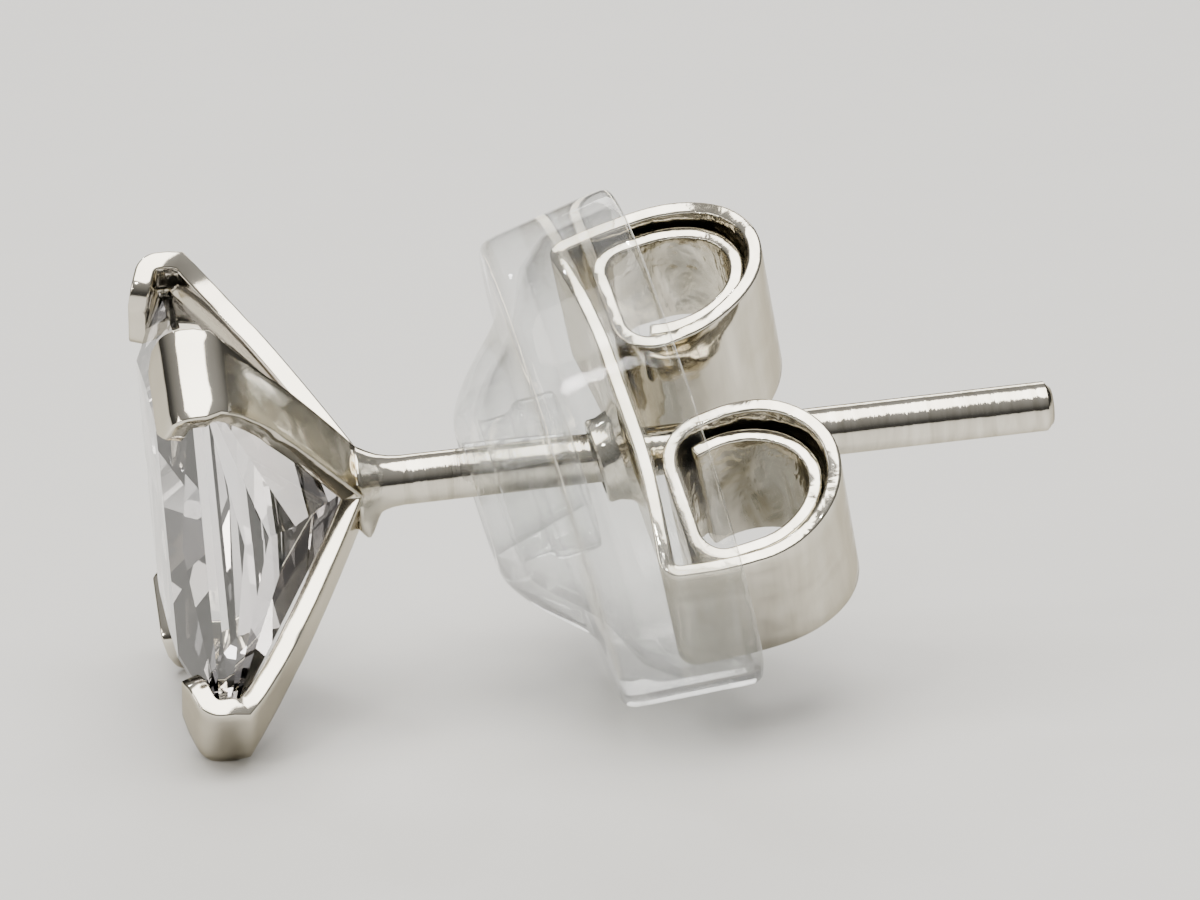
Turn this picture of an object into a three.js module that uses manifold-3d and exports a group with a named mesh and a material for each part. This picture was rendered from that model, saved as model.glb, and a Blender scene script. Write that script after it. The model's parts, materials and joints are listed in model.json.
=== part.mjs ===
// A stud earring: a square stone held at its corners by four folded straps on a straight post,
// and a butterfly clutch with a clear disc that slides on the post.
// Millimetres. Each piece is made on the stud's own axis, with +Z out of the stone's table and the post
// along -Z. The whole stud then lies on a table, on its two lower corners and the rim of the clear disc.
import * as THREE from "three";
import { mergeVertices } from "three/addons/utils/BufferGeometryUtils.js";
import Module from "manifold-3d";

const wasm = await Module();
wasm.setup();

// ---- Driving dimensions -------------------------------------------------------------------------

const STONE = {
  half: 2.45, // half the side of the square girdle
  girdle: 0.12, // thickness of the upright band between crown and pavilion
  table: 0.46, // height of the table above the girdle's upper edge, which is z = 0
  cornerReach: 3.4, // axis to the blunted corner
};
// Every crown and pavilion facet runs through a corner of the girdle. Slope is its lean from the girdle
// plane, and swing how far its pair turns away from the side's middle, both in degrees.
const CROWN_TIERS = [
  { slope: 38, swing: 0 },
  { slope: 30, swing: 3 },
  { slope: 22, swing: 45 },
];
const PAVILION_TIERS = [
  { slope: 64, swing: 0 },
  { slope: 54.5, swing: 2.3 },
  { slope: 46.6, swing: 6.7 },
  { slope: 33, swing: 26 },
];
const STONE_GAP = 0.04; // room between the stone and the metal that grips it

// One strap, as the middle line of a strip of even thickness: the leg curves up and out from the foot on
// the stud's axis, stands upright past the stone's corner, and folds in over the crown.
const STRAP = {
  thick: 0.28,
  reach: 3.54, // axis to the upright part's middle line
  foot: -2.4, // height of the line on the axis
  footRise: 0.5, // rise of the leg for each unit outwards, at the foot
  shoulder: -0.3, // height where the leg becomes upright
  shoulderRise: 0.82,
  foldStart: 0, // height where the upright part begins to fold inwards
  foldRadius: 0.22,
  tipSlope: 19, // degrees by which the folded tip rises inwards
  tipReach: 2.92, // axis to the tip's end
};
// The strap's outline seen along the axis: half its width at each distance from the axis.
const STRAP_PLAN = [
  { reach: 0, halfWidth: 0.8 },
  { reach: 2.5, halfWidth: 0.44 },
  { reach: 2.92, halfWidth: 0.48 },
  { reach: 3.14, halfWidth: 0.7 },
  { reach: 3.62, halfWidth: 0.7 },
  { reach: 3.68, halfWidth: 0.65 },
];
// The same strap's outline seen from outside: half its width at each height.
const STRAP_FRONT = [
  { height: -3, halfWidth: 0.4 },
  { height: -1.5, halfWidth: 0.44 },
  { height: -0.8, halfWidth: 0.48 },
  { height: -0.55, halfWidth: 0.53 },
  { height: -0.35, halfWidth: 0.61 },
  { height: -0.22, halfWidth: 0.7 },
  { height: 0.6, halfWidth: 0.7 },
];

const HEAD_HALF_WIDTH = Math.max(...STRAP_PLAN.map((row) => row.halfWidth));

const POST = { radius: 0.35, length: 9.5, foot: -2.68, endChamfer: 0.09 };
const SOLDER = { wideRadius: 0.5, top: -2.3, end: -2.84 }; // the cone of solder round the post's root

const STRIP = {
  thick: 0.2,
  flatReach: 1.5, // from the post to where the plate begins to bow towards the stone
  plateReach: 2.62, // from the post to the fold at the plate's end
  bow: 0.18, // how far the bow carries that end forward
  foldRadius: 0.2,
  scrollCentre: 1.84, // from the axis to the scroll's centre
  scrollDepth: 1.12, // from the plate to the scroll's centre
  outerTurn: { wide: 1.12, deep: 1.34 }, // half the turn's oval, along the plate and back from it
  innerTurn: { wide: 0.84, deep: 1.05 },
  returnRadius: 0.56, // the bend by the post where the strip turns back towards the plate
  returnDepth: 0.31, // from the plate to the strip's inner run beside it
  innerFold: 0.44,
  innerSweep: 204, // degrees of the inner turn before the strip ends
};
// The clutch's outline seen along the post: half the strip's width at each distance from the post.
const STRIP_OUTLINE = [
  { along: 0, halfWidth: 1.52 },
  { along: 1, halfWidth: 1.51 },
  { along: 1.9, halfWidth: 1.45 },
  { along: 2.5, halfWidth: 1.32 },
  { along: 2.9, halfWidth: 1.19 },
  { along: 3.3, halfWidth: 1.03 },
];
const COLLAR = { inner: 0.46, outer: 0.6, height: 0.44 }; // the eyelet drawn out of the plate

const CLUTCH = {
  place: -6.24, // height of the middle of the clutch's plate on the stud's axis
  turn: 50, // degrees by which the clutch is turned about its own axis
  lean: 11.5, // degrees by which the slack clutch leans on the post, its upper side towards the stone
};

// The disc is a cup with a domed front and a thick front edge. Its rows run once round its section, each
// with its distance from the axis and its height in front of the middle of the clutch's plate.
const DISC = {
  wall: 0.26,
  // The bore widens forwards, which guides the post into the clutch; a short hub stands round it inside.
  hub: [
    { r: 0.84, z: 2.3 },
    { r: 0.52, z: 0.81 },
    { r: 1.16, z: 0.81 },
    { r: 1.16, z: 1.43 },
    { r: 1.03, z: 1.51 },
    { r: 1.03, z: 1.91 },
  ],
  // The dome's outside, from the flat land round the bore to the flat of the brim.
  dome: [
    { r: 1.1, z: 2.3 },
    { r: 1.3, z: 2.22 },
    { r: 1.55, z: 2.05 },
    { r: 1.8, z: 1.83 },
    { r: 2.02, z: 1.6 },
    { r: 2.2, z: 1.41 },
    { r: 2.36, z: 1.28 },
    { r: 2.54, z: 1.23 },
  ],
  // The wall, from the foot of the dome's inside round the rear edge to the flat of the brim.
  rim: [
    { r: 2.9, z: 0.77 },
    { r: 3.24, z: 0.35 },
    { r: 3.38, z: -0.73 },
    { r: 3.44, z: -0.79 },
    { r: 3.57, z: -0.75 },
    { r: 3.61, z: -0.67 },
    { r: 3.61, z: -0.55 },
    { r: 3.45, z: 0.91 },
    { r: 3.42, z: 1.09 },
    { r: 3.35, z: 1.19 },
    { r: 3.24, z: 1.23 },
  ],
};

const FLATS = { post: 40, collar: 48, disc: 96 }; // round each turned piece
const STEPS = { strap: 10, scroll: 10 }; // straight steps in each curve
const CLOSEST = 0.02; // points of a line nearer together than this become one

const SILVER = { color: 0xdcd9cf, roughness: 0.16, metalness: 1 };
const STONE_GLASS = { color: 0xf4f2f6, roughness: 0.02, metalness: 0, transparent: true, opacity: 0.5 };
const PLASTIC = { color: 0xeef0f0, roughness: 0.08, metalness: 0, transparent: true, opacity: 0.35 };

const UP = new THREE.Vector3(0, 0, 1);
const deg = THREE.MathUtils.degToRad;

// ---- Cutting and joining ------------------------------------------------------------------------

function solidFrom(geometry) {
  const bare = geometry.clone();
  bare.deleteAttribute("normal");
  bare.deleteAttribute("uv");
  const weld = 1e-5;
  const merged = mergeVertices(bare, weld);
  return new wasm.Manifold(
    new wasm.Mesh({
      numProp: 3,
      vertProperties: merged.attributes.position.array,
      triVerts: new Uint32Array(merged.index.array),
    }),
  );
}

function geometryFrom(solid) {
  const mesh = solid.getMesh();
  const geometry = new THREE.BufferGeometry();
  geometry.setAttribute("position", new THREE.BufferAttribute(new Float32Array(mesh.vertProperties), 3));
  geometry.setIndex(new THREE.BufferAttribute(new Uint32Array(mesh.triVerts), 1));
  geometry.computeVertexNormals();
  return geometry;
}

// A solid of revolution about Z from rows of { r, z }.
function turned(rows, flats) {
  const points = rows.map(({ r, z }) => new THREE.Vector2(r, z));
  points.push(points[0].clone());
  return new THREE.LatheGeometry(points, flats).rotateX(Math.PI / 2);
}

// A straight-sided shape drawn in X and Y, extruded along Z and centred there.
function slab(shape, thickness) {
  const options = { depth: thickness, bevelEnabled: false };
  return new THREE.ExtrudeGeometry(shape, options).translate(0, 0, -thickness / 2);
}

// The same, stood up: the shape's Y becomes Z, and its thickness lies along Y.
function uprightSlab(shape, thickness) {
  return slab(shape, thickness).rotateX(Math.PI / 2);
}

// ---- The stone ----------------------------------------------------------------------------------

// Removes everything beyond a plane through a point, as grinding one facet does.
function grind(solid, normal, point) {
  const size = 8 * STONE.half; // a block that covers the whole stone, whatever the facet
  const block = new THREE.BoxGeometry(size, size, size).translate(0, 0, size / 2);
  const turn = new THREE.Quaternion().setFromUnitVectors(UP, normal);
  block.applyQuaternion(turn).translate(point.x, point.y, point.z);
  return solid.subtract(solidFrom(block));
}

// The cut stone, or the same stone with every face moved out by margin.
function stoneSolid(margin = 0) {
  const { half, girdle, table, cornerReach } = STONE;
  const side = 2 * (half + margin);
  const deep = 2 * half;
  const blank = new THREE.BoxGeometry(side, side, 2 * deep);
  let stone = solidFrom(blank);
  const moved = (point, normal) => point.clone().addScaledVector(normal, margin);
  const lean = new THREE.Vector3(0, 1, 0); // a facet of the +X side leans about this
  stone = grind(stone, UP, moved(new THREE.Vector3(0, 0, table), UP));
  for (let quarter = 0; quarter < 4; quarter += 1) {
    for (const hand of [-1, 1]) {
      const sideTurn = deg(90 * quarter);
      const corner = new THREE.Vector3(half, hand * half, 0);
      for (const { slope, swing } of CROWN_TIERS) {
        const normal = UP.clone()
          .applyAxisAngle(lean, deg(slope))
          .applyAxisAngle(UP, sideTurn + hand * deg(swing));
        const point = corner.clone().applyAxisAngle(UP, sideTurn);
        stone = grind(stone, normal, moved(point, normal));
      }
      for (const { slope, swing } of PAVILION_TIERS) {
        const normal = UP.clone()
          .negate()
          .applyAxisAngle(lean, deg(-slope))
          .applyAxisAngle(UP, sideTurn + hand * deg(swing));
        const point = corner.clone().setZ(-girdle).applyAxisAngle(UP, sideTurn);
        stone = grind(stone, normal, moved(point, normal));
      }
    }
    const out = new THREE.Vector3(1, 0, 0).applyAxisAngle(UP, deg(45 + 90 * quarter));
    stone = grind(stone, out, moved(out.clone().multiplyScalar(cornerReach), out));
  }
  return stone;
}

// ---- The setting and post -----------------------------------------------------------------------

// The middle line of the strap: X runs out along the stone's diagonal, Y along the stud's axis.
function strapLine() {
  const s = STRAP;
  const elbowReach =
    (s.foot - s.shoulder + s.reach * s.shoulderRise) / (s.shoulderRise - s.footRise);
  const path = new THREE.Path();
  path.moveTo(0, s.foot);
  path.quadraticCurveTo(elbowReach, s.foot + s.footRise * elbowReach, s.reach, s.shoulder);
  path.lineTo(s.reach, s.foldStart);
  const foldEnd = 90 - s.tipSlope;
  path.absarc(s.reach - s.foldRadius, s.foldStart, s.foldRadius, 0, deg(foldEnd), false);
  const { x, y } = path.currentPoint;
  path.lineTo(s.tipReach, y + (x - s.tipReach) * Math.tan(deg(s.tipSlope)));
  return path.getPoints(STEPS.strap);
}

// Both sides of a line of even thickness, as one closed loop of points.
function thickened(line, thick) {
  const sides = [1, -1].map((hand) =>
    line.map((point, i) => {
      const before = line[Math.max(i - 1, 0)];
      const after = line[Math.min(i + 1, line.length - 1)];
      const along = after.clone().sub(before).normalize();
      return new THREE.Vector2(point.x - hand * along.y * thick / 2, point.y + hand * along.x * thick / 2);
    }),
  );
  return [...sides[0], ...sides[1].reverse()];
}

// The line without the points that fall on the one before.
function spaced(line) {
  return line.filter((point, i) => i === 0 || point.distanceTo(line[i - 1]) > CLOSEST);
}

// A shape symmetrical about X, from rows that give half its width along X.
function mirroredOutline(rows, along) {
  const shape = new THREE.Shape();
  shape.moveTo(rows[0][along], -rows[0].halfWidth);
  for (const row of rows.slice(1)) shape.lineTo(row[along], -row.halfWidth);
  for (const row of rows.toReversed()) shape.lineTo(row[along], row.halfWidth);
  return shape;
}

// One strap turned about the axis: what its side view, its plan and its front view have in common.
function strapSolid(turn) {
  const tall = 4 * Math.abs(POST.foot);
  const wide = 3 * HEAD_HALF_WIDTH;
  const strip = new THREE.Shape(thickened(spaced(strapLine()), STRAP.thick));
  const side = solidFrom(uprightSlab(strip, wide).rotateZ(turn));
  const plan = solidFrom(slab(mirroredOutline(STRAP_PLAN, "reach"), tall).rotateZ(turn));
  const outline = slab(mirroredOutline(STRAP_FRONT, "height"), tall);
  const front = solidFrom(outline.rotateY(-Math.PI / 2).rotateZ(turn));
  return side.intersect(plan).intersect(front);
}

function postProfile() {
  const { radius, length, endChamfer } = POST;
  const end = POST.foot - length;
  return [
    { r: 0, z: end },
    { r: radius - endChamfer, z: end },
    { r: radius, z: end + endChamfer },
    { r: radius, z: SOLDER.end },
    { r: SOLDER.wideRadius, z: SOLDER.top },
    { r: 0, z: SOLDER.top },
  ];
}

function settingGeometry() {
  let setting = solidFrom(turned(postProfile(), FLATS.post));
  for (let corner = 0; corner < 4; corner += 1) {
    setting = setting.add(strapSolid(deg(45 + 90 * corner)));
  }
  return geometryFrom(setting.subtract(stoneSolid(STONE_GAP)));
}

// ---- The butterfly clutch -----------------------------------------------------------------------

// The middle line of half the strip: X runs along the plate from the post, Y back from the plate.
function scrollLine() {
  const s = STRIP;
  const path = new THREE.Path();
  path.moveTo(0, 0);
  path.lineTo(s.flatReach / 2, 0);
  path.quadraticCurveTo(s.flatReach, 0, s.plateReach, -s.bow);
  const droop = Math.atan2(s.bow, s.plateReach - s.flatReach);
  const fold = new THREE.Vector2(
    s.plateReach + s.foldRadius * Math.sin(droop),
    s.foldRadius * Math.cos(droop) - s.bow,
  );
  path.absarc(fold.x, fold.y, s.foldRadius, -Math.PI / 2 - droop, 0, false);
  const { outerTurn: outer, innerTurn: inner } = s;
  const farSide = s.scrollCentre + outer.wide;
  path.quadraticCurveTo(farSide, (fold.y + s.scrollDepth) / 2, farSide, s.scrollDepth);
  path.absellipse(s.scrollCentre, s.scrollDepth, outer.wide, outer.deep, 0, deg(180), false, 0);
  const byPost = s.scrollCentre - outer.wide;
  const bendCentre = new THREE.Vector2(byPost + s.returnRadius, s.returnDepth + s.returnRadius);
  path.absarc(bendCentre.x, bendCentre.y, s.returnRadius, deg(180), deg(270), false);
  const innerOut = s.scrollCentre + inner.wide;
  const innerCentre = new THREE.Vector2(innerOut - s.innerFold, s.returnDepth + s.innerFold);
  path.absarc(innerCentre.x, innerCentre.y, s.innerFold, deg(-90), 0, false);
  const sweep = deg(s.innerSweep);
  path.absellipse(s.scrollCentre, s.scrollDepth, inner.wide, inner.deep, 0, sweep, false, 0);
  return path.getPoints(STEPS.scroll);
}

function clutchGeometry() {
  const half = spaced(scrollLine());
  const mirrored = half.slice(1).reverse().map((point) => new THREE.Vector2(-point.x, point.y));
  const strip = new THREE.Shape(thickened([...mirrored, ...half], STRIP.thick));
  const reach = STRIP_OUTLINE.at(-1).along;
  const wide = 3 * STRIP_OUTLINE[0].halfWidth;
  const rolled = solidFrom(uprightSlab(strip, wide).rotateX(Math.PI));
  const right = STRIP_OUTLINE;
  const left = STRIP_OUTLINE.slice(1).reverse().map((row) => ({ ...row, along: -row.along }));
  const face = solidFrom(slab(mirroredOutline([...left, ...right], "along"), 4 * reach));
  const { inner, outer, height } = COLLAR;
  const front = STRIP.thick / 2;
  const rod = (radius, low, high) => {
    const rows = [
      { r: 0, z: low },
      { r: radius, z: low },
      { r: radius, z: high },
      { r: 0, z: high },
    ];
    return solidFrom(turned(rows, FLATS.collar));
  };
  const collar = rod(outer, -front, front + height);
  const hole = rod(inner, -reach, reach);
  const clutch = rolled.intersect(face).add(collar).subtract(hole);
  return geometryFrom(clutch).rotateZ(Math.PI / 2);
}

// ---- The clear disc -----------------------------------------------------------------------------

// The rows of a surface that faces forwards, moved back by the wall's thickness.
function insideOf(rows, wall) {
  return rows.map((row, i) => {
    const before = rows[Math.max(i - 1, 0)];
    const after = rows[Math.min(i + 1, rows.length - 1)];
    const along = new THREE.Vector2(after.r - before.r, after.z - before.z).normalize();
    return { r: row.r + along.y * wall, z: row.z - along.x * wall };
  });
}

function discGeometry() {
  const { wall, hub, dome, rim } = DISC;
  const domeInside = insideOf(dome.slice(1, -1), wall);
  return turned([...hub, ...domeInside, ...rim, ...dome.toReversed()], FLATS.disc);
}

// ---- Putting it together ------------------------------------------------------------------------

function piece(name, geometry, material) {
  const mesh = new THREE.Mesh(geometry, new THREE.MeshStandardMaterial(material));
  mesh.name = name;
  return mesh;
}

// Every corner of a piece, in the stud's own frame.
function cornersOf(mesh, root) {
  root.updateMatrixWorld(true);
  const place = mesh.geometry.attributes.position;
  return Array.from({ length: place.count }, (_, i) =>
    new THREE.Vector3().fromBufferAttribute(place, i).applyMatrix4(mesh.matrixWorld),
  );
}

// How far the post's end lifts, in radians, when the two lower corners of the setting and the rim of the
// disc all touch the table: the slope of the line that has both of them resting on it.
function restTilt(headCorners, rimCorners) {
  const passes = 6; // each finds the lowest corner a little better, and three already agree
  let tilt = 0;
  for (let pass = 0; pass < passes; pass += 1) {
    const depth = (p) => -p.y * Math.cos(tilt) + p.z * Math.sin(tilt);
    const head = headCorners.reduce((best, p) => (depth(p) > depth(best) ? p : best));
    tilt = Math.max(...rimCorners.map((p) => Math.atan2(head.y - p.y, head.z - p.z)));
  }
  return tilt;
}

const stone = piece("square_stone", geometryFrom(stoneSolid()), STONE_GLASS);
const setting = piece("setting_and_post", settingGeometry(), SILVER);
const clutch = piece("butterfly_clutch", clutchGeometry(), SILVER);
const disc = piece("clear_disc", discGeometry(), PLASTIC);

// The clutch leans about the middle of its hole, so that neither end of the hole meets the post.
const holeMiddle = COLLAR.height / 2;
const sliding = new THREE.Group();
sliding.add(clutch, disc);
sliding.rotation.z = deg(CLUTCH.turn);

const leaning = new THREE.Group();
leaning.add(sliding);
leaning.rotation.x = deg(CLUTCH.lean);
leaning.position.copy(UP).applyEuler(leaning.rotation).sub(UP).multiplyScalar(-holeMiddle);
leaning.position.z += CLUTCH.place;

const stud = new THREE.Group();
stud.add(setting, stone, leaning);
stud.rotation.x = Math.PI / 2 + restTilt(cornersOf(setting, stud), cornersOf(disc, stud));

const earring = new THREE.Group();
earring.add(stud);
const box = new THREE.Box3().setFromObject(earring, true);
const middle = box.getCenter(new THREE.Vector3());
stud.position.set(-middle.x, -middle.y, -box.min.z);

export default earring;
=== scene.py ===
"""The finish of a stud earring that lies on a table: polished silver straps and post round a square stone,
and a butterfly clutch in a clear plastic disc on the post. All lengths are in metres."""

import json
import math

import bmesh
import bpy
from mathutils import Matrix, Vector


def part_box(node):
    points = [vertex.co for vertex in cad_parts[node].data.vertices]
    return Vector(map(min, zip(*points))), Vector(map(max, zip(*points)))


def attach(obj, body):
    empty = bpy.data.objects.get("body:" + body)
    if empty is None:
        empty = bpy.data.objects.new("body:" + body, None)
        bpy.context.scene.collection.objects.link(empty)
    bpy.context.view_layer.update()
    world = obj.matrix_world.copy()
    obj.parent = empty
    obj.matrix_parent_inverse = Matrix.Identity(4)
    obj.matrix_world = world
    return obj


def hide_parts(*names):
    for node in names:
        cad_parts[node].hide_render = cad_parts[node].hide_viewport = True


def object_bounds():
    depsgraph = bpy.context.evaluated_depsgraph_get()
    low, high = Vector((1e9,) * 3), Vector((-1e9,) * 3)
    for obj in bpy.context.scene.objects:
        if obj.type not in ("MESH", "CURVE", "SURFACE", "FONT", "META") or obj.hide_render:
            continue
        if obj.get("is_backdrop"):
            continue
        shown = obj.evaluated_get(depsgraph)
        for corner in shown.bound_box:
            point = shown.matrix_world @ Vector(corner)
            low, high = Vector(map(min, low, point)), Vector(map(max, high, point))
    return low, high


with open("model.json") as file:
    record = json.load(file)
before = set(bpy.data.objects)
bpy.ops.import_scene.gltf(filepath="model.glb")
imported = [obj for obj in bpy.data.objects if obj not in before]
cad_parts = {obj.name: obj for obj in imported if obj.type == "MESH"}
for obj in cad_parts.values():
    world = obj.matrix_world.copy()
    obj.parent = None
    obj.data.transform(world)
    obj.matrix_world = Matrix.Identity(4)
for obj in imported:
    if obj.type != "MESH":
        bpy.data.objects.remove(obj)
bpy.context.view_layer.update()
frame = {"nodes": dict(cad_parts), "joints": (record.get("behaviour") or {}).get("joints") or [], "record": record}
MM = 0.001

# ---- Sizes of the finished pieces, in millimetres ------------------------------------------------

STRAP = {
    "thick": 0.28, "reach": 3.54, "foot": -2.4, "foot_rise": 0.5, "shoulder": -0.3,
    "shoulder_rise": 0.82, "fold_start": 0.0, "fold_radius": 0.22, "tip_slope": 19, "tip_reach": 2.92,
}
# Half the strap's width at each distance from the stud's axis, seen from above the stone.
STRAP_PLAN = [(0, 0.8), (2.5, 0.44), (2.92, 0.48), (3.14, 0.7), (3.62, 0.7), (3.68, 0.65)]
# The most it can be at each height. The narrower of the two counts.
STRAP_FRONT = [
    (-3, 0.4), (-1.5, 0.44), (-0.8, 0.48), (-0.55, 0.53), (-0.35, 0.61), (-0.22, 0.7), (0.6, 0.7),
]
STONE_GAP = 0.04
POST = {"radius": 0.35, "end": -12.18, "chamfer": 0.09}
# The solder round the post's root, as (radius, height).
SOLDER = [(0.58, -2.3), (0.55, -2.36), (0.47, -2.5), (0.405, -2.64), (0.365, -2.8), (0.35, -2.95)]
SOLDER_DROP = {"at": (0.14, -0.5, -2.45), "size": 0.24, "length": 0.26}
STRIP = {
    "thick": 0.2, "flat_reach": 1.5, "plate_reach": 2.62, "bow": 0.18, "fold_radius": 0.2,
    "scroll_centre": 1.84, "scroll_depth": 1.12, "outer_wide": 1.12, "outer_deep": 1.34,
    "inner_wide": 0.84, "inner_deep": 1.05, "return_radius": 0.56, "return_depth": 0.31,
    "inner_fold": 0.44, "inner_sweep": 204,
}
# Half the strip's width at each distance from the post, and the share of it kept by the length of strip.
STRIP_OUTLINE = [(0, 1.52), (1, 1.51), (1.9, 1.45), (2.5, 1.32), (2.9, 1.19), (3.3, 1.03)]
STRIP_TAPER = [(7.2, 1), (9.6, 0.78)]
COLLAR = {"inner": 0.46, "outer": 0.6, "height": 0.44, "rounding": 0.03, "flare": 0.1}
# The outside of the collar's foot, as (radius, height in front of the plate).
COLLAR_FOOT = [(0.95, -0.05), (0.78, 0.03), (0.66, 0.12), (0.6, 0.28)]
# The disc's section, as (radius, height in front of the middle of the clutch's plate).
DISC_WALL = 0.26
DISC_LAND = 2.3  # height of the flat round the bore, where the mount is
DISC_HUB = [(0.84, DISC_LAND), (0.52, 0.81), (1.16, 0.81), (1.16, 1.43), (1.03, 1.51), (1.03, 1.91)]
DISC_DOME = [
    (1.1, DISC_LAND), (1.3, 2.22), (1.55, 2.05), (1.8, 1.83), (2.02, 1.6), (2.2, 1.41), (2.36, 1.28),
    (2.54, 1.23),
]
DISC_RIM = [
    (2.9, 0.77), (3.24, 0.35), (3.38, -0.73), (3.44, -0.79), (3.57, -0.75), (3.61, -0.67), (3.61, -0.55),
    (3.45, 0.91), (3.42, 1.09), (3.35, 1.19), (3.24, 1.23),
]
PITCH = {"strap": 0.12, "strip": 0.2, "solder": 0.05}  # from one row of points to the next
EDGE = {"strap": 0.035, "strip": 0.04, "disc": 0.1}  # rounding of each piece's edges
FLATS = {"post": 64, "collar": 64, "disc": 128}  # round each turned piece


# ---- Where the stud and its clutch lie -----------------------------------------------------------

def matrix_of(origin, x, z):
    """The place of a frame whose X and Z axes and origin are given."""
    y = z.cross(x)
    columns = Matrix((x, y, z)).transposed().to_4x4()
    return Matrix.Translation(origin) @ columns


mounts = {m["name"]: m for m in frame["record"]["mounts"]}
slide = frame["joints"][0]
stud_up = -Vector(slide["axis"]).normalized()  # out of the stone's table, away from the post
post_end = Vector(mounts["post_end"]["pos_m"])
stud_origin = post_end - stud_up * POST["end"] * MM
STUD_PLACE = matrix_of(stud_origin, Vector((1, 0, 0)), stud_up)

clutch_up = Vector(mounts["lobe_pad"]["axis"]).normalized()
hole_middle_height = COLLAR["height"] / 2
pad_height = (DISC_LAND - hole_middle_height) * MM
pad_foot = Vector(mounts["lobe_pad"]["pos_m"]) - clutch_up * pad_height
along_post = (pad_foot - stud_origin).dot(clutch_up) / stud_up.dot(clutch_up)
hole_middle = stud_origin + stud_up * along_post
clutch_side = (pad_foot - hole_middle).normalized()
CLUTCH_PLACE = matrix_of(hole_middle - clutch_up * hole_middle_height * MM, clutch_side, clutch_up)


# ---- Working by hand in Blender ------------------------------------------------------------------

def put_down():
    """Leaves edit mode and deselects everything."""
    if bpy.context.object and bpy.context.object.mode != "OBJECT":
        bpy.ops.object.mode_set(mode="OBJECT")
    bpy.ops.object.select_all(action="DESELECT")


def take(piece):
    """Makes piece the only selected object, and the active one."""
    put_down()
    piece.select_set(True)
    bpy.context.view_layer.objects.active = piece
    return piece


def edit(piece):
    take(piece)
    bpy.ops.object.mode_set(mode="EDIT")
    bpy.ops.mesh.select_mode(type="VERT")
    return piece


def pick(piece, kind, wanted):
    """In edit mode, selects the vertices, edges or faces for which wanted is true."""
    bpy.ops.mesh.select_mode(type=kind)
    bpy.ops.mesh.select_all(action="DESELECT")
    mesh = bmesh.from_edit_mesh(piece.data)
    for part in {"VERT": mesh.verts, "EDGE": mesh.edges, "FACE": mesh.faces}[kind]:
        if wanted(part):
            part.select_set(True)
    mesh.select_flush_mode()
    bmesh.update_edit_mesh(piece.data)


def weld(distance=2e-6):
    """In edit mode, merges what coincides and turns every face outwards."""
    bpy.ops.mesh.select_all(action="SELECT")
    bpy.ops.mesh.remove_doubles(threshold=distance)
    bpy.ops.mesh.normals_make_consistent(inside=False)


def modify(piece, kind, **settings):
    """Adds one modifier with its settings and applies it."""
    take(piece)
    bpy.ops.object.modifier_add(type=kind)
    modifier = piece.modifiers[-1]
    for name, value in settings.items():
        setattr(modifier, name, value)
    bpy.ops.object.modifier_apply(modifier=modifier.name)
    return piece


def place(piece, where):
    """Moves a piece made on its own axis to its place, and keeps the place in the mesh."""
    take(piece)
    piece.matrix_world = where
    bpy.ops.object.transform_apply(location=True, rotation=True, scale=True)
    return piece


def remove(piece):
    take(piece)
    bpy.ops.object.delete()


def start_line(name, at, half_width=0.0, columns=0):
    """A new mesh in edit mode: one selected point, or one selected edge across Y in so many columns."""
    put_down()
    size = 2 * half_width if columns else MM
    bpy.ops.mesh.primitive_plane_add(size=size, location=(at[0] + size / 2, 0, at[1]))
    piece = bpy.context.object
    piece.name = piece.data.name = name
    bpy.ops.object.transform_apply(location=True)
    bpy.ops.object.mode_set(mode="EDIT")
    if columns:
        pick(piece, "VERT", lambda v: v.co.x > at[0] + size / 2)
    else:
        pick(piece, "VERT", lambda v: v.co.x > at[0] + size / 2 or v.co.y > 0)
    bpy.ops.mesh.delete(type="VERT")
    bpy.ops.mesh.select_all(action="SELECT")
    if columns:
        bpy.ops.mesh.subdivide(number_cuts=columns - 1)
        bpy.ops.mesh.select_all(action="SELECT")
    else:
        bpy.ops.transform.translate(value=(0, size / 2, 0))
    return piece


def draw_on(step):
    """Extrudes the selected points or edges by a step of (x, z)."""
    bpy.ops.mesh.extrude_region_move(TRANSFORM_OT_translate={"value": (step[0], 0, step[1])})


def draw_strip(name, rows, columns=6):
    """A sheet drawn out from its first edge, by rows of (x, z, half width) in millimetres."""
    rows = [tuple(MM * value for value in row) for row in rows]
    x, z, half = rows[0]
    piece = start_line(name, (x, z), half, columns)
    for row in rows[1:]:
        draw_on((row[0] - x, row[1] - z))
        ratio = row[2] / half
        x, z, half = row
        bpy.ops.transform.resize(value=(1, ratio, 1), center_override=(x, 0, z))
    return piece


def turn_profile(name, rows, flats):
    """A solid of revolution about Z from a closed profile of (radius, z) in millimetres."""
    rows = [tuple(MM * value for value in row) for row in rows]
    piece = start_line(name, rows[0])
    for here, there in zip(rows, rows[1:]):
        draw_on((there[0] - here[0], there[1] - here[1]))
    if rows[0][0] > 0 or rows[-1][0] > 0:
        bpy.ops.mesh.select_all(action="SELECT")
        ends = [Vector((rows[i][0], 0, rows[i][1])) for i in (0, -1)]
        pick(piece, "VERT", lambda v: min((v.co - end).length for end in ends) < 1e-7)
        bpy.ops.mesh.edge_face_add()
    bpy.ops.mesh.select_all(action="SELECT")
    bpy.ops.mesh.spin(steps=flats, angle=2 * math.pi, center=(0, 0, 0), axis=(0, 0, 1))
    weld()
    put_down()
    return piece


def cut_or_join(piece, tool, operation):
    modify(piece, "BOOLEAN", object=tool, operation=operation, solver="EXACT")
    remove(tool)
    return piece


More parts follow.
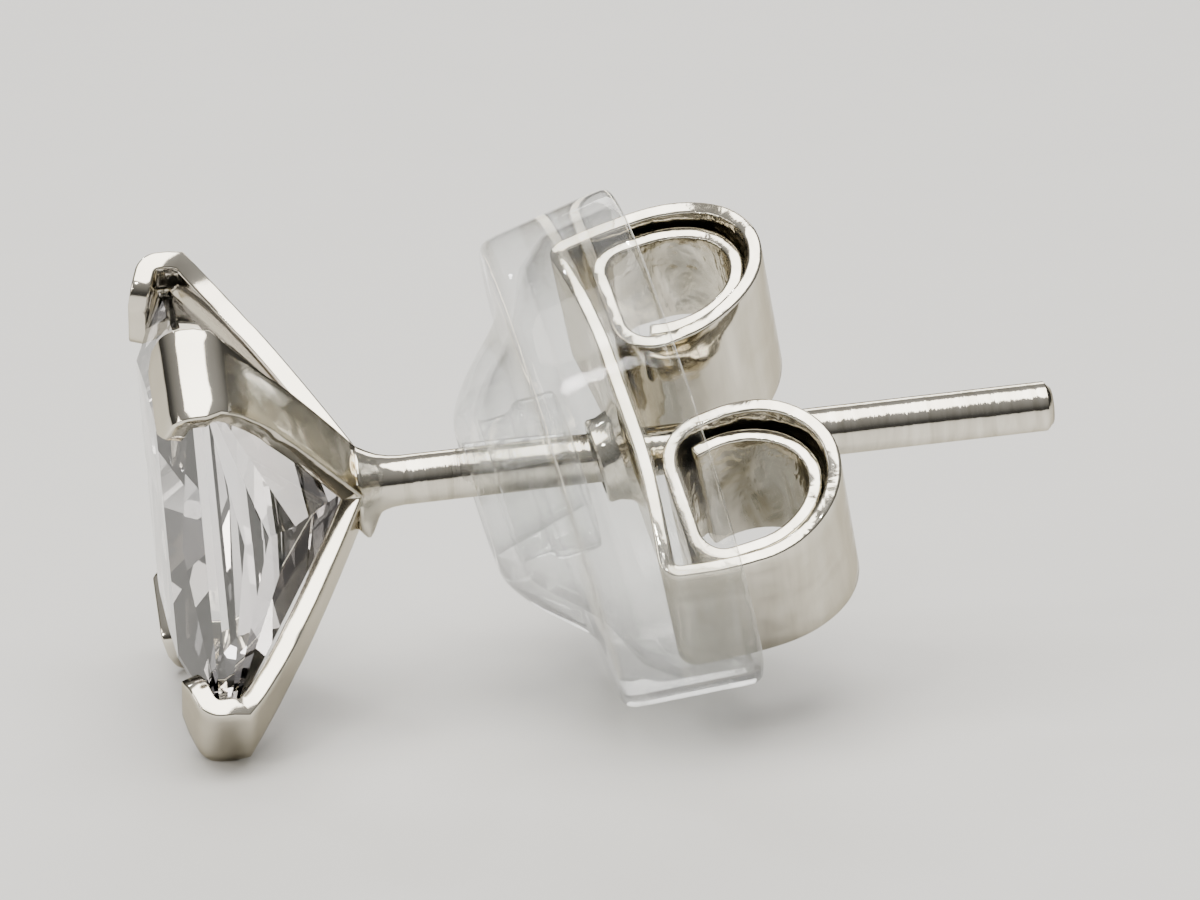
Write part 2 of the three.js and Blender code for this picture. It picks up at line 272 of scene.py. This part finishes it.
def soften_edges(piece, width, over=40, segments=3):
    return modify(
        piece, "BEVEL", width=width * MM, segments=segments, limit_method="ANGLE",
        angle_limit=math.radians(over), miter_outer="MITER_ARC", use_clamp_overlap=True,
    )


def smooth(piece, angle=32):
    take(piece)
    bpy.ops.object.shade_smooth_by_angle(angle=math.radians(angle), keep_sharp_edges=False)
    modify(piece, "WEIGHTED_NORMAL", keep_sharp=True, weight=50)
    return piece


# ---- Lines that the strips follow ----------------------------------------------------------------

def between(table, at):
    """The value of a table of (place, value) at a place, straight between its rows."""
    if at <= table[0][0]:
        return table[0][1]
    for (low, a), (high, b) in zip(table, table[1:]):
        if at <= high:
            return a + (b - a) * (at - low) / (high - low)
    return table[-1][1]


def curve(start, handle, end, steps):
    """Points of a quadratic curve, without its first."""
    points = []
    for i in range(1, steps + 1):
        t = i / steps
        points.append(tuple(
            (1 - t) ** 2 * a + 2 * t * (1 - t) * h + t * t * b for a, h, b in zip(start, handle, end)
        ))
    return points


def arc(centre, wide, start, end, steps, deep=None):
    """Points of an arc in degrees, its first included. It is part of an oval if deep is given."""
    points = []
    for i in range(steps + 1):
        angle = math.radians(start + (end - start) * i / steps)
        points.append((centre[0] + wide * math.cos(angle), centre[1] + (deep or wide) * math.sin(angle)))
    return points


def soft_corners(points, radius, steps=4):
    """A closed line with every corner rounded, by no more than its neighbours leave room for."""
    soft = []
    for i, corner in enumerate(points):
        ends = []
        for other in (points[i - 1], points[(i + 1) % len(points)]):
            length = math.dist(corner, other)
            share = min(radius / length, 0.45)
            ends.append(tuple(c + (o - c) * share for c, o in zip(corner, other)))
        soft += [ends[0]] + curve(ends[0], corner, ends[1], steps)
    return soft


def set_back(points, distance):
    """The inside of a surface that faces forwards and out."""
    moved = []
    for i, (r, z) in enumerate(points):
        before, after = points[max(i - 1, 0)], points[min(i + 1, len(points) - 1)]
        length = math.dist(before, after)
        along = ((after[0] - before[0]) / length, (after[1] - before[1]) / length)
        moved.append((r + along[1] * distance, z - along[0] * distance))
    return moved


def evened(points, pitch):
    """The same line with points about a pitch apart."""
    kept = [points[0]]
    for here, there in zip(points, points[1:]):
        length = math.dist(here, there)
        if length < 1e-4:
            continue
        parts = max(1, round(length / pitch))
        kept += [tuple(a + (b - a) * i / parts for a, b in zip(here, there)) for i in range(1, parts + 1)]
    return kept


def strap_line():
    """The middle line of a strap as (reach, height), from the hub to the tip."""
    s = STRAP
    drop = s["foot"] - s["shoulder"] + s["reach"] * s["shoulder_rise"]
    elbow = drop / (s["shoulder_rise"] - s["foot_rise"])
    foot, shoulder = (0, s["foot"]), (s["reach"], s["shoulder"])
    line = [foot] + curve(foot, (elbow, s["foot"] + s["foot_rise"] * elbow), shoulder, 16)
    line += [(s["reach"], (s["shoulder"] + s["fold_start"]) / 2)]
    fold = (s["reach"] - s["fold_radius"], s["fold_start"])
    line += arc(fold, s["fold_radius"], 0, 90 - s["tip_slope"], 8)
    x, y = line[-1]
    line += [(s["tip_reach"], y + (x - s["tip_reach"]) * math.tan(math.radians(s["tip_slope"])))]
    return evened(line, PITCH["strap"])


def strap_half_width(reach, height):
    return min(between(STRAP_PLAN, reach), between(STRAP_FRONT, height))


def scroll_line():
    """The middle line of half the clutch's strip as (across, depth behind the plate)."""
    s = STRIP
    plate_end = (s["plate_reach"], -s["bow"])
    line = [(0, 0), (s["flat_reach"] / 2, 0)]
    line += curve(line[-1], (s["flat_reach"], 0), plate_end, 10)
    droop = math.atan2(s["bow"], s["plate_reach"] - s["flat_reach"])
    fold = (
        s["plate_reach"] + s["fold_radius"] * math.sin(droop),
        s["fold_radius"] * math.cos(droop) - s["bow"],
    )
    line += arc(fold, s["fold_radius"], -90 - math.degrees(droop), 0, 8)[1:]
    far_side = s["scroll_centre"] + s["outer_wide"]
    line += curve(line[-1], (far_side, (fold[1] + s["scroll_depth"]) / 2), (far_side, s["scroll_depth"]), 6)
    scroll = (s["scroll_centre"], s["scroll_depth"])
    line += arc(scroll, s["outer_wide"], 0, 180, 32, s["outer_deep"])[1:]
    by_post = s["scroll_centre"] - s["outer_wide"]
    bend = (by_post + s["return_radius"], s["return_depth"] + s["return_radius"])
    line += arc(bend, s["return_radius"], 180, 270, 12)
    inner_out = s["scroll_centre"] + s["inner_wide"]
    inner = (inner_out - s["inner_fold"], s["return_depth"] + s["inner_fold"])
    line += arc(inner, s["inner_fold"], -90, 0, 12)
    line += arc(scroll, s["inner_wide"], 0, s["inner_sweep"], 28, s["inner_deep"])
    return evened(line, PITCH["strip"])


# ---- Materials -----------------------------------------------------------------------------------

class Line:
    """A wire from one socket. Arithmetic on it adds the Math nodes that work it out."""

    def __init__(self, sheet, socket):
        self.sheet = sheet
        self.socket = socket

    def _math(self, operation, a, b):
        return self.sheet.add("ShaderNodeMath", {"operation": operation}, {0: a, 1: b})

    def __add__(self, other):
        return self._math("ADD", self, other)

    def __sub__(self, other):
        return self._math("SUBTRACT", self, other)

    def __rsub__(self, other):
        return self._math("SUBTRACT", other, self)

    def __mul__(self, other):
        return self._math("MULTIPLY", self, other)

    def __pow__(self, other):
        return self._math("POWER", self, other)

    __radd__, __rmul__ = __add__, __mul__


class Finish:
    """A material and the nodes that make it."""

    def __init__(self, name):
        self.material = bpy.data.materials.new(name)
        self.material.use_nodes = True
        self.tree = self.material.node_tree
        self.tree.nodes.clear()

    def add(self, kind, settings=None, sockets=None, output=0):
        """One node with its settings and the values or lines of its sockets. Returns its output, if any."""
        node = self.tree.nodes.new(kind)
        for key, value in (settings or {}).items():
            if key == "stops":
                ramp = node.color_ramp
                while len(ramp.elements) < len(value):
                    ramp.elements.new(0.5)
                for element, (position, colour) in zip(ramp.elements, value):
                    element.position = position
                    element.color = (*colour, 1)
            else:
                setattr(node, key, value)
        for key, value in (sockets or {}).items():
            if isinstance(value, Line):
                self.tree.links.new(value.socket, node.inputs[key])
            else:
                node.inputs[key].default_value = value
        return None if output is None else Line(self, node.outputs[output])

    def coordinates(self, scale=(1, 1, 1), place=None):
        """Object coordinates in millimetres along the axes of a place, each stretched by scale."""
        where = self.add("ShaderNodeTexCoord", output="Object")
        if place:
            turn = place.to_3x3().inverted().to_euler()
            where = self.add("ShaderNodeMapping", {}, {"Vector": where, "Rotation": turn})
        per_mm = tuple(1 / MM * value for value in scale)
        return self.add("ShaderNodeMapping", {}, {"Vector": where, "Scale": per_mm})

    def noise(self, vector, scale, detail=3.0, roughness=0.5, distortion=0.0):
        return self.add("ShaderNodeTexNoise", {}, {
            "Vector": vector, "Scale": scale, "Detail": detail, "Roughness": roughness,
            "Distortion": distortion,
        })

    def blend(self, factor, a, b):
        """A colour from a to b."""
        return self.add("ShaderNodeMix", {"data_type": "RGBA"}, {0: factor, 6: a, 7: b}, output=2)

    def bump(self, height, depth, under=None):
        """A normal that rises with height, by so many millimetres, over another normal if one is given."""
        sockets = {"Height": height, "Distance": depth * MM, "Strength": 1.0}
        if under:
            sockets["Normal"] = under
        return self.add("ShaderNodeBump", {}, sockets)

    def ramp(self, factor, stops):
        return self.add("ShaderNodeValToRGB", {"stops": stops}, {"Fac": factor})

    def surface(self, shader):
        """Puts the shader on the surface. Returns the finished material."""
        self.add("ShaderNodeOutputMaterial", {}, {"Surface": shader}, output=None)
        return self.material


def rgba(r, g, b):
    return (r, g, b, 1.0)


SILVER = rgba(0.85, 0.81, 0.72)
TARNISH = rgba(0.56, 0.525, 0.435)


def polished_silver(name, waves, grain=None, tarnish_and_shade=TARNISH, dull=0.04):
    """Polished sterling silver: soft waves left by the polishing wheel, as (scale, depth), hair scratches
    and a breath of warm tarnishing. A grain is what rolling or drawing left in it, as (stretch, place, scale,
    depth). Given a darker colour for a hollow, it paints shade into that hollow."""
    f = Finish(name)
    here = f.coordinates()
    waves_scale, waves_depth = waves
    swell = f.noise(here, waves_scale, 2.0)
    haze = f.noise(here, 0.6, 4.0, 0.6)
    hair = f.noise(f.coordinates((3, 20, 20), STUD_PLACE), 1.0, 4.0, 0.7)
    tarnish_and_shade_mask = haze
    roughness = dull + 0.08 * haze + 0.05 * hair
    normal = f.bump(swell, waves_depth)
    normal = f.bump(hair, 0.0006, normal)
    if grain:
        stretch, along, scale, grain_depth = grain
        marks = f.noise(f.coordinates(stretch, along), scale, 3.0, 0.55, 0.6)
        normal = f.bump(marks, grain_depth, normal)
        tarnish_and_shade_mask = 0.5 * haze + 2.2 * marks - 0.85
    # Blends from SILVER towards the given darker colour by random haze and grain. Inside the scroll, that darker
    # colour is painted shade.
    colour = f.blend(tarnish_and_shade_mask, SILVER, tarnish_and_shade)
    shader = f.add("ShaderNodeBsdfPrincipled", {}, {
        "Base Color": colour, "Metallic": 1.0, "Roughness": roughness, "Normal": normal,
        "Specular Tint": rgba(0.62, 0.59, 0.52),
    })
    return f.surface(shader)


def cut_stone():
    """Clear stone. Its faint lilac and rose tints, varying at random, are painted fire: the coloured light that a
    cut stone splits out.
    """
    f = Finish("cut_stone")
    here = f.coordinates()
    drift = f.noise(here, 0.35, 2.0)
    # Painted fire: faint tints in place of the stone's coloured flashes of light.
    colour = f.ramp(drift, [
        (0.3, (0.90, 0.90, 0.97)), (0.45, (0.99, 0.98, 0.99)), (0.58, (0.99, 0.93, 0.94)),
        (0.72, (0.97, 0.97, 0.93)),
    ])
    dust = f.noise(here, 6.0, 3.0, 0.6)
    roughness = 0.02 * dust
    shader = f.add("ShaderNodeBsdfPrincipled", {}, {
        "Base Color": colour, "Roughness": roughness, "IOR": 2.15, "Transmission Weight": 1.0,
    })
    return f.surface(shader)


def clear_plastic():
    """Clear soft plastic, a little hazy, with handling scratches. Its thin walls hardly bend the light that
    meets them squarely, so only the edges look like glass."""
    f = Finish("clear_plastic")
    here = f.coordinates()
    haze = f.noise(here, 0.8, 4.0, 0.6)
    scratches = f.noise(f.coordinates((1, 1, 8)), 5.0, 4.0, 0.7)
    roughness = 0.004 + 0.016 * haze
    normal = f.bump(scratches, 0.0008)
    glassy = f.add("ShaderNodeBsdfPrincipled", {}, {
        "Base Color": rgba(0.985, 0.99, 0.99), "Roughness": roughness, "IOR": 1.41,
        "Transmission Weight": 1.0, "Normal": normal,
    })
    through = f.add("ShaderNodeBsdfTransparent", {}, {"Color": rgba(0.975, 0.98, 0.98)})
    gloss = f.add("ShaderNodeBsdfAnisotropic", {}, {"Roughness": roughness, "Normal": normal})
    edge = f.add("ShaderNodeLayerWeight", {}, {"Blend": 0.5}, output=1)
    thin = f.add("ShaderNodeMixShader", {}, {0: 0.03 + 0.6 * edge ** 5, 1: through, 2: gloss})
    return f.surface(f.add("ShaderNodeMixShader", {}, {0: 0.05 + 0.95 * edge ** 3, 1: thin, 2: glassy}))


def table_top():
    f = Finish("table_top")
    here = f.add("ShaderNodeTexCoord", output="Object")
    grain = f.noise(here, 300.0, 4.0, 0.6)
    colour = f.blend(grain, rgba(0.72, 0.72, 0.71), rgba(0.76, 0.76, 0.75))
    shader = f.add("ShaderNodeBsdfPrincipled", {}, {"Base Color": colour, "Roughness": 0.6})
    return f.surface(shader)


def clothe(piece, material):
    piece.data.materials.clear()
    piece.data.materials.append(material)
    return piece


def clothe_part(piece, material, wanted):
    """Gives some faces of a piece another material."""
    piece.data.materials.append(material)
    edit(piece)
    pick(piece, "FACE", wanted)
    piece.active_material_index = len(piece.data.materials) - 1
    bpy.ops.object.material_slot_assign()
    put_down()
    return piece


# ---- The setting and its post --------------------------------------------------------------------

def make_band(name):
    """One band of the setting: two straps in one strip, from tip to tip through the hub."""
    line = strap_line()
    side = [(reach, height, strap_half_width(reach, height)) for reach, height in line]
    rows = [(-reach, height, half) for reach, height, half in reversed(side[1:])] + side
    band = draw_strip(name, rows)
    put_down()
    modify(band, "SOLIDIFY", thickness=STRAP["thick"] * MM, offset=0, use_even_offset=True,
           use_quality_normals=True)
    return soften_edges(band, EDGE["strap"], 60)


def spin_about_axis(piece, degrees):
    edit(piece)
    bpy.ops.mesh.select_all(action="SELECT")
    bpy.ops.transform.rotate(value=math.radians(degrees), orient_axis="Z", center_override=(0, 0, 0))
    put_down()
    return piece


def make_straps():
    """The two bands crossed at the hub and soldered there."""
    straps = spin_about_axis(make_band("straps"), 45)
    return cut_or_join(straps, spin_about_axis(make_band("cross_band"), -45), "UNION")


def stone_space():
    """The stone with a little room round it, to cut its seat."""
    take(frame["nodes"]["square_stone"])
    bpy.ops.object.duplicate()
    space = bpy.context.object
    space.parent = None
    space.name = "stone_space"
    edit(space)
    weld(1e-6)
    low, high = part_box("square_stone")
    middle = (low + high) / 2
    ratio = 1 + 2 * STONE_GAP * MM / (high - low).x
    bpy.ops.transform.resize(value=(ratio,) * 3, center_override=middle)
    put_down()
    return space


def pull_solder_drop(post):
    """Draws a small drop out of the solder on the post's lower side."""
    at = Vector(SOLDER_DROP["at"]) * MM
    edit(post)
    foot = min((v.co for v in post.data.vertices), key=lambda co: (co - at).length).copy()
    pick(post, "VERT", lambda v: (v.co - foot).length < 1e-8)
    bpy.ops.transform.translate(
        value=(0, -SOLDER_DROP["length"] * MM, 0), use_proportional_edit=True,
        proportional_edit_falloff="SMOOTH", proportional_size=SOLDER_DROP["size"] * MM,
    )
    put_down()


def make_setting():
    setting = make_straps()
    post = turn_profile("post", [(0, SOLDER[0][1])] + evened(SOLDER, PITCH["solder"]) + [
        (POST["radius"], POST["end"] + POST["chamfer"]),
        (POST["radius"] - POST["chamfer"], POST["end"]),
        (0, POST["end"]),
    ], FLATS["post"])
    pull_solder_drop(post)
    cut_or_join(setting, post, "UNION")
    place(setting, STUD_PLACE)
    cut_or_join(setting, stone_space(), "DIFFERENCE")
    setting.name = setting.data.name = "silver_setting"
    return smooth(setting)


# ---- The clutch and its disc ---------------------------------------------------------------------

def strip_rows():
    """Half the clutch's strip, from the post to its end in the scroll, as (across, height, half width)."""
    line = scroll_line()
    rows, length = [], 0.0
    for (x, depth), before in zip(line, line[:1] + line):
        length += math.dist(before, (x, depth))
        rows.append((x, -depth, between(STRIP_OUTLINE, abs(x)) * between(STRIP_TAPER, length)))
    return rows


def make_collar():
    """The eyelet drawn out of the plate, still solid."""
    front = STRIP["thick"] / 2
    top, radius, rounding = front + COLLAR["height"], COLLAR["outer"], COLLAR["rounding"]
    foot = [(r, front + height) for r, height in COLLAR_FOOT]
    rim = [(radius, top - rounding), (radius - rounding, top), (0, top)]
    return turn_profile("collar", [(0, -front / 2)] + foot + rim, FLATS["collar"])


def make_hole():
    """What the clutch's hole removes, wider behind the plate, where the post comes through."""
    front, radius = STRIP["thick"] / 2, COLLAR["inner"]
    behind, mouth = -1, radius + COLLAR["flare"]
    return turn_profile("hole", [
        (0, behind), (mouth, behind), (mouth, -front - 0.02), (radius, -front + COLLAR["flare"]),
        (radius, 2), (0, 2),
    ], FLATS["collar"])


def make_clutch():
    piece = draw_strip("silver_clutch", strip_rows(), 8)
    put_down()
    modify(piece, "MIRROR", use_axis=(True, False, False), use_clip=True, merge_threshold=2e-6)
    edit(piece)
    weld()
    put_down()
    modify(piece, "SOLIDIFY", thickness=STRIP["thick"] * MM, offset=0, use_even_offset=True,
           use_quality_normals=True)
    soften_edges(piece, EDGE["strip"], 50)
    cut_or_join(piece, make_collar(), "UNION")
    cut_or_join(piece, make_hole(), "DIFFERENCE")
    spin_about_axis(piece, 90)
    place(piece, CLUTCH_PLACE)
    return smooth(piece)


# The faces picked here get the scroll's painted shade.
def faces_scroll_centre(face):
    """Whether a face of the clutch looks in on its scroll's middle. Those on the strip's edges don't."""
    here = CLUTCH_PLACE.inverted() @ face.calc_center_median()
    across = math.copysign(STRIP["scroll_centre"] * MM, here.y)
    inwards = Vector((0, across - here.y, -STRIP["scroll_depth"] * MM - here.z))
    squareness = face.normal.dot(CLUTCH_PLACE.to_3x3() @ inwards) / inwards.length
    return inwards.length < STRIP["outer_deep"] * MM and squareness > 0.5


def make_disc():
    """A clear cup that holds the clutch: domed in front, with a thick edge and a hub round the bore."""
    rows = DISC_HUB + set_back(DISC_DOME[1:-1], DISC_WALL) + DISC_RIM + DISC_DOME[::-1]
    piece = turn_profile("plastic_disc", soft_corners(rows, EDGE["disc"]), FLATS["disc"])
    place(piece, CLUTCH_PLACE)
    return smooth(piece, 40)


# ---- Putting it together -------------------------------------------------------------------------

def below_solder(face):
    """Whether a face of the setting is on the bare post."""
    return (face.calc_center_median() - stud_origin).dot(stud_up) < SOLDER[-1][1] * MM


setting = clothe(make_setting(), polished_silver("strap_silver", (0.9, 0.03)))
drawn_wire = polished_silver("drawn_wire_silver", (0.9, 0.02), ((0.5, 0.5, 3.2), STUD_PLACE, 1.5, 0.012))
clothe_part(setting, drawn_wire, below_solder)
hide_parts("setting_and_post")
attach(setting, "stud")

rolled_strip = polished_silver(
    "rolled_strip_silver", (1.1, 0.055), ((0.2, 1.5, 1.5), CLUTCH_PLACE, 1.4, 0.014),
)
clutch = clothe(make_clutch(), rolled_strip)
# Inside the scroll: a much darker colour in its streaks. This is painted shade, standing in for the dim
# reflections deep in the curl. The streaks follow the strip's rolling grain.
scroll_inside = polished_silver(
    "scroll_inside_painted_shade_silver", (1.8, 0.07), ((0.5, 1.4, 1.4), CLUTCH_PLACE, 1.7, 0.07),
    tarnish_and_shade=rgba(0.36, 0.33, 0.25), dull=0.1,
)
clothe_part(clutch, scroll_inside, faces_scroll_centre)
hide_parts("butterfly_clutch")
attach(clutch, "clutch")

disc = clothe(make_disc(), clear_plastic())
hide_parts("clear_disc")
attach(disc, "clutch")

clothe(frame["nodes"]["square_stone"], cut_stone())


# ---- Table, light and camera ---------------------------------------------------------------------

def add_light(name, at, towards, size, watts, colour):
    put_down()
    bpy.ops.object.light_add(type="AREA", location=at)
    lamp = bpy.context.object
    lamp.name = name
    lamp.data.shape = "RECTANGLE"
    lamp.data.size, lamp.data.size_y = size
    lamp.data.energy = watts
    lamp.data.color = colour
    lamp.visible_camera = False
    lamp.rotation_euler = (Vector(towards) - Vector(at)).to_track_quat("-Z", "Y").to_euler()
    return lamp


put_down()
bpy.ops.mesh.primitive_plane_add(size=1.2, location=(0, 0, 0))
table = bpy.context.object
table.name = "table"
clothe(table, table_top())
table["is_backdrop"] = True

low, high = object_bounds()
middle = (low + high) / 2


def light_room():
    """A dim room, dark at the table's height and below it and brighter overhead, so that polished metal has
    something dark to show."""
    world = bpy.data.worlds.new("room")
    bpy.context.scene.world = world
    world.use_nodes = True
    tree = world.node_tree
    where = tree.nodes.new("ShaderNodeTexCoord")
    split = tree.nodes.new("ShaderNodeSeparateXYZ")
    height = tree.nodes.new("ShaderNodeValToRGB")
    stops = [(0.0, 0.05), (0.2, 0.10), (0.5, 0.32), (1.0, 0.60)]
    while len(height.color_ramp.elements) < len(stops):
        height.color_ramp.elements.new(0.5)
    for element, (position, grey) in zip(height.color_ramp.elements, stops):
        element.position = position
        element.color = (grey * 1.02, grey, grey * 0.97, 1)
    tree.links.new(where.outputs["Generated"], split.inputs[0])
    tree.links.new(split.outputs["Z"], height.inputs["Fac"])
    tree.links.new(height.outputs["Color"], tree.nodes["Background"].inputs["Color"])
    tree.nodes["Background"].inputs["Strength"].default_value = 0.8


light_room()
for name, at, size, watts, colour in [
    ("soft_box_above", (0.015, -0.01, 0.16), (0.13, 0.16), 0.46, (1.0, 0.965, 0.90)),
    ("soft_box_behind", (-0.14, 0.03, 0.07), (0.09, 0.05), 0.08, (1.0, 0.98, 0.95)),
    ("soft_box_left", (0.03, -0.15, 0.06), (0.05, 0.04), 0.05, (1.0, 0.95, 0.88)),
    ("small_lamp_high", (0.09, -0.06, 0.12), (0.006, 0.006), 0.02, (1.0, 0.98, 0.95)),
    ("small_lamp_left", (0.07, -0.12, 0.05), (0.006, 0.006), 0.015, (1.0, 0.96, 0.9)),
    ("small_lamp_back", (-0.08, -0.05, 0.10), (0.006, 0.006), 0.015, (0.96, 0.97, 1.0)),
]:
    add_light(name, at, middle, size, watts, colour)

AZIMUTH, ELEVATION, DISTANCE, LENS = 82.0, 16.0, 0.10, 215.0
a, e = math.radians(AZIMUTH), math.radians(ELEVATION)
back = Vector((math.sin(a) * math.cos(e), -math.cos(a) * math.cos(e), math.sin(e)))
put_down()
bpy.ops.object.camera_add(location=middle + back * DISTANCE)
camera = bpy.context.object
camera.rotation_euler = (-back).to_track_quat("-Z", "Y").to_euler()
camera.data.lens = LENS
camera.data.clip_start = 0.01
bpy.context.scene.camera = camera
put_down()
